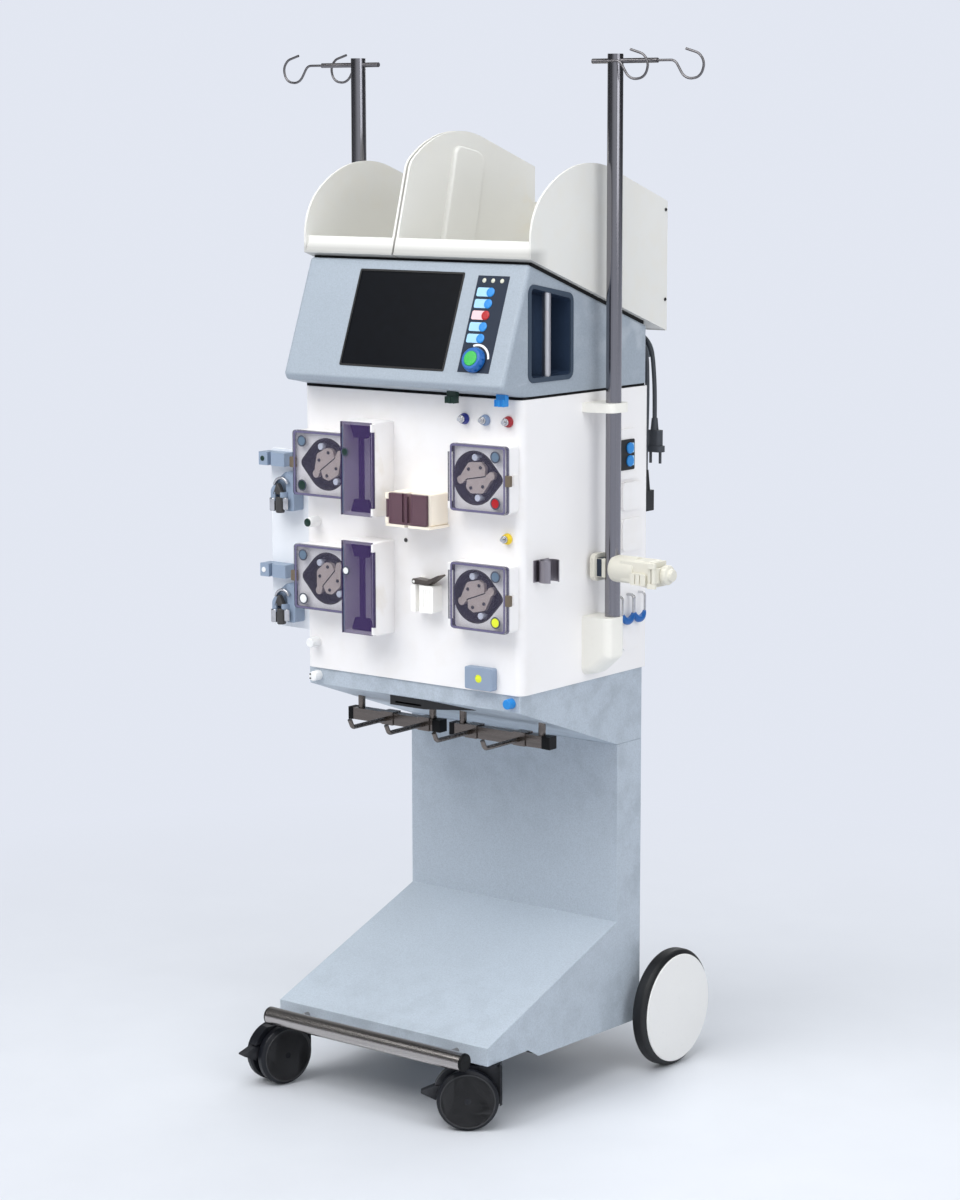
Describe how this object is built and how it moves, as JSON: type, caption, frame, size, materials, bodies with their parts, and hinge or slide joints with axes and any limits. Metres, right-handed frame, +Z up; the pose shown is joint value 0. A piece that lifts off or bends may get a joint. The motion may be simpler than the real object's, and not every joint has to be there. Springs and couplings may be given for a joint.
{
  "type": "dialysis machine",
  "caption": "Wheeled blood treatment machine with pump modules, tilted operator panel, bag trays, infusion poles and weighing bars on a ramp-shaped stand.",
  "frame": {"origin": "on the floor under the middle of the overall box, lead left out", "axes": "+Z up, the operator panel faces -Y, +X is the side with the filter holder"},
  "size_m": [0.8618, 0.6526, 1.6999],
  "materials": {
    "painted_grey": "satin",
    "chassis_grey": "satin",
    "white_housing": "satin",
    "cream_tray": "satin",
    "stainless": "brushed",
    "chrome_part": "polished",
    "black_plastic": "matte",
    "seal": "matte",
    "tyre_rubber": "matte",
    "ivory_plastic": "satin",
    "violet_door": "gloss",
    "brown_lid": "gloss",
    "track_metal": "satin",
    "rotor_metal": "satin",
    "dark_screen": "gloss",
    "slate_plastic": "satin",
    "blue_knob": "gloss",
    "green_button": "gloss",
    "fitting_plastic": "satin",
    "grey_plastic": "satin",
    "cord_rubber": "matte"
  },
  "bodies": {
    "machine": {"stand_shell": "painted_grey", "chassis_frame": "chassis_grey", "lower_pan": "painted_grey", "bumper_bar": "chrome_part", "bar_end_caps": "black_plastic", "body_shell": "white_housing", "rear_cover": "white_housing", "head_housing": "painted_grey", "seam_gaskets": "seal", "display_screen": "dark_screen", "control_strip": "slate_plastic", "handle_frames": "slate_plastic", "handle_bars": "chrome_part", "left_tray": "cream_tray", "right_tray": "cream_tray", "infusion_poles": "stainless", "pole_hooks": "stainless", "pole_mounts": "white_housing", "pump_housings": "white_housing", "pump_tracks": "track_metal", "warmer_housings": "white_housing", "leak_detector_body": "cream_tray", "air_detector_body": "cream_tray", "front_fittings": "fitting_plastic", "scale_bars": "stainless", "card_reader": "black_plastic", "side_clips": "stainless", "side_key_panel": "black_plastic", "left_accessory_plate": "cream_tray", "left_tube_guides": "grey_plastic", "cord_coil": "cord_rubber", "power_cord": "cord_rubber", "cord_gland": "black_plastic", "mains_plug": "cord_rubber"},
    "upper_right_pump_rotor": {"upper_right_pump_rotor": "rotor_metal"},
    "upper_right_pump_door": {"upper_right_pump_door": "violet_door"},
    "lower_right_pump_rotor": {"lower_right_pump_rotor": "rotor_metal"},
    "lower_right_pump_door": {"lower_right_pump_door": "violet_door"},
    "upper_left_pump_rotor": {"upper_left_pump_rotor": "rotor_metal"},
    "upper_left_pump_door": {"upper_left_pump_door": "violet_door"},
    "lower_left_pump_rotor": {"lower_left_pump_rotor": "rotor_metal"},
    "lower_left_pump_door": {"lower_left_pump_door": "violet_door"},
    "upper_warmer_door": {"upper_warmer_door": "violet_door"},
    "lower_warmer_door": {"lower_warmer_door": "violet_door"},
    "leak_lid": {"leak_detector_lid": "brown_lid"},
    "clamp_lever": {"air_clamp_lever": "grey_plastic"},
    "knob": {"selector_knob": "blue_knob"},
    "button": {"selector_button": "green_button"},
    "left_caster": {"left_caster_yoke": "black_plastic"},
    "left_caster_wheels": {"left_caster_wheels": "grey_plastic"},
    "left_brake": {"left_brake_pedal": "black_plastic"},
    "left_rear_wheel": {"left_rear_wheel": "ivory_plastic", "left_rear_tyre": "tyre_rubber"},
    "right_caster": {"right_caster_yoke": "black_plastic"},
    "right_caster_wheels": {"right_caster_wheels": "grey_plastic"},
    "right_brake": {"right_brake_pedal": "black_plastic"},
    "right_rear_wheel": {"right_rear_wheel": "ivory_plastic", "right_rear_tyre": "tyre_rubber"},
    "filter_holder": {"filter_holder": "grey_plastic"},
    "filter_jaw": {"filter_jaw": "black_plastic"}
  },
  "joints": [
    {"name": "upper_right_pump_rotor_spin", "type": "hinge", "parent": "machine", "child": "upper_right_pump_rotor", "pos_m": [0.153, -0.18472, 1.037], "axis": [0, 1, 0], "continuous": true},
    {"name": "upper_right_pump_door_swing", "type": "hinge", "parent": "machine", "child": "upper_right_pump_door", "pos_m": [0.1058, -0.18772, 1.037], "axis": [0, 0, -1], "range_deg": [0, 110]},
    {"name": "lower_right_pump_rotor_spin", "type": "hinge", "parent": "machine", "child": "lower_right_pump_rotor", "pos_m": [0.153, -0.18472, 0.849], "axis": [0, 1, 0], "continuous": true},
    {"name": "lower_right_pump_door_swing", "type": "hinge", "parent": "machine", "child": "lower_right_pump_door", "pos_m": [0.1058, -0.18772, 0.849], "axis": [0, 0, -1], "range_deg": [0, 110]},
    {"name": "upper_left_pump_rotor_spin", "type": "hinge", "parent": "machine", "child": "upper_left_pump_rotor", "pos_m": [-0.153, -0.18472, 1.037], "axis": [0, 1, 0], "continuous": true},
    {"name": "upper_left_pump_door_swing", "type": "hinge", "parent": "machine", "child": "upper_left_pump_door", "pos_m": [-0.1058, -0.18772, 1.037], "axis": [0, 0, 1], "range_deg": [0, 90]},
    {"name": "lower_left_pump_rotor_spin", "type": "hinge", "parent": "machine", "child": "lower_left_pump_rotor", "pos_m": [-0.153, -0.18472, 0.849], "axis": [0, 1, 0], "continuous": true},
    {"name": "lower_left_pump_door_swing", "type": "hinge", "parent": "machine", "child": "lower_left_pump_door", "pos_m": [-0.1058, -0.18772, 0.849], "axis": [0, 0, 1], "range_deg": [0, 90]},
    {"name": "upper_warmer_door_swing", "type": "hinge", "parent": "machine", "child": "upper_warmer_door", "pos_m": [-0.035, -0.20952, 1.0375], "axis": [0, 0, 1], "range_deg": [0, 100]},
    {"name": "lower_warmer_door_swing", "type": "hinge", "parent": "machine", "child": "lower_warmer_door", "pos_m": [-0.035, -0.20952, 0.8445], "axis": [0, 0, 1], "range_deg": [0, 100]},
    {"name": "leak_lid_swing", "type": "hinge", "parent": "machine", "child": "leak_lid", "pos_m": [-0.0065, -0.20592, 0.98], "axis": [0, 0, -1], "range_deg": [0, 100]},
    {"name": "clamp_lever_swing", "type": "hinge", "parent": "machine", "child": "clamp_lever", "pos_m": [0.026, -0.17072, 0.861], "axis": [0, -1, 0], "range_deg": [0, 60]},
    {"name": "selector_turn", "type": "hinge", "parent": "machine", "child": "knob", "pos_m": [0.161, -0.19372, 1.22147], "axis": [0, -0.9367, 0.35], "continuous": true},
    {"name": "selector_press", "type": "slide", "parent": "knob", "child": "button", "axis": [0, 0.9367, -0.35], "range_m": [0, 0.0015], "stiffness_N_per_m": 250},
    {"name": "left_caster_swivel", "type": "hinge", "parent": "machine", "child": "left_caster", "pos_m": [-0.205, -0.22072, 0.106], "axis": [0, 0, 1], "continuous": true},
    {"name": "left_caster_roll", "type": "hinge", "parent": "left_caster", "child": "left_caster_wheels", "pos_m": [-0.21328, -0.25163, 0.05], "axis": [0.9659, -0.2588, 0], "continuous": true},
    {"name": "left_brake_press", "type": "hinge", "parent": "left_caster", "child": "left_brake", "pos_m": [-0.22467, -0.29413, 0.064], "axis": [0.9659, -0.2588, 0], "range_deg": [0, 15]},
    {"name": "left_rear_wheel_roll", "type": "hinge", "parent": "machine", "child": "left_rear_wheel", "pos_m": [-0.238, 0.22628, 0.1], "axis": [1, 0, 0], "continuous": true},
    {"name": "right_caster_swivel", "type": "hinge", "parent": "machine", "child": "right_caster", "pos_m": [0.205, -0.22072, 0.106], "axis": [0, 0, 1], "continuous": true},
    {"name": "right_caster_roll", "type": "hinge", "parent": "right_caster", "child": "right_caster_wheels", "pos_m": [0.17978, -0.24042, 0.05], "axis": [0.6157, -0.788, 0], "continuous": true},
    {"name": "right_brake_press", "type": "hinge", "parent": "right_caster", "child": "right_brake", "pos_m": [0.14511, -0.26751, 0.064], "axis": [0.6157, -0.788, 0], "range_deg": [0, 15]},
    {"name": "right_rear_wheel_roll", "type": "hinge", "parent": "machine", "child": "right_rear_wheel", "pos_m": [0.238, 0.22628, 0.1], "axis": [1, 0, 0], "continuous": true},
    {"name": "filter_holder_swivel", "type": "hinge", "parent": "machine", "child": "filter_holder", "pos_m": [0.2635, 0.03328, 0.879], "axis": [0, 0, 1], "range_deg": [-40, 45]},
    {"name": "filter_jaw_swing", "type": "hinge", "parent": "filter_holder", "child": "filter_jaw", "pos_m": [0.3585, 0.01128, 0.876], "axis": [0, 0, -1], "range_deg": [0, 70]}
  ]
}
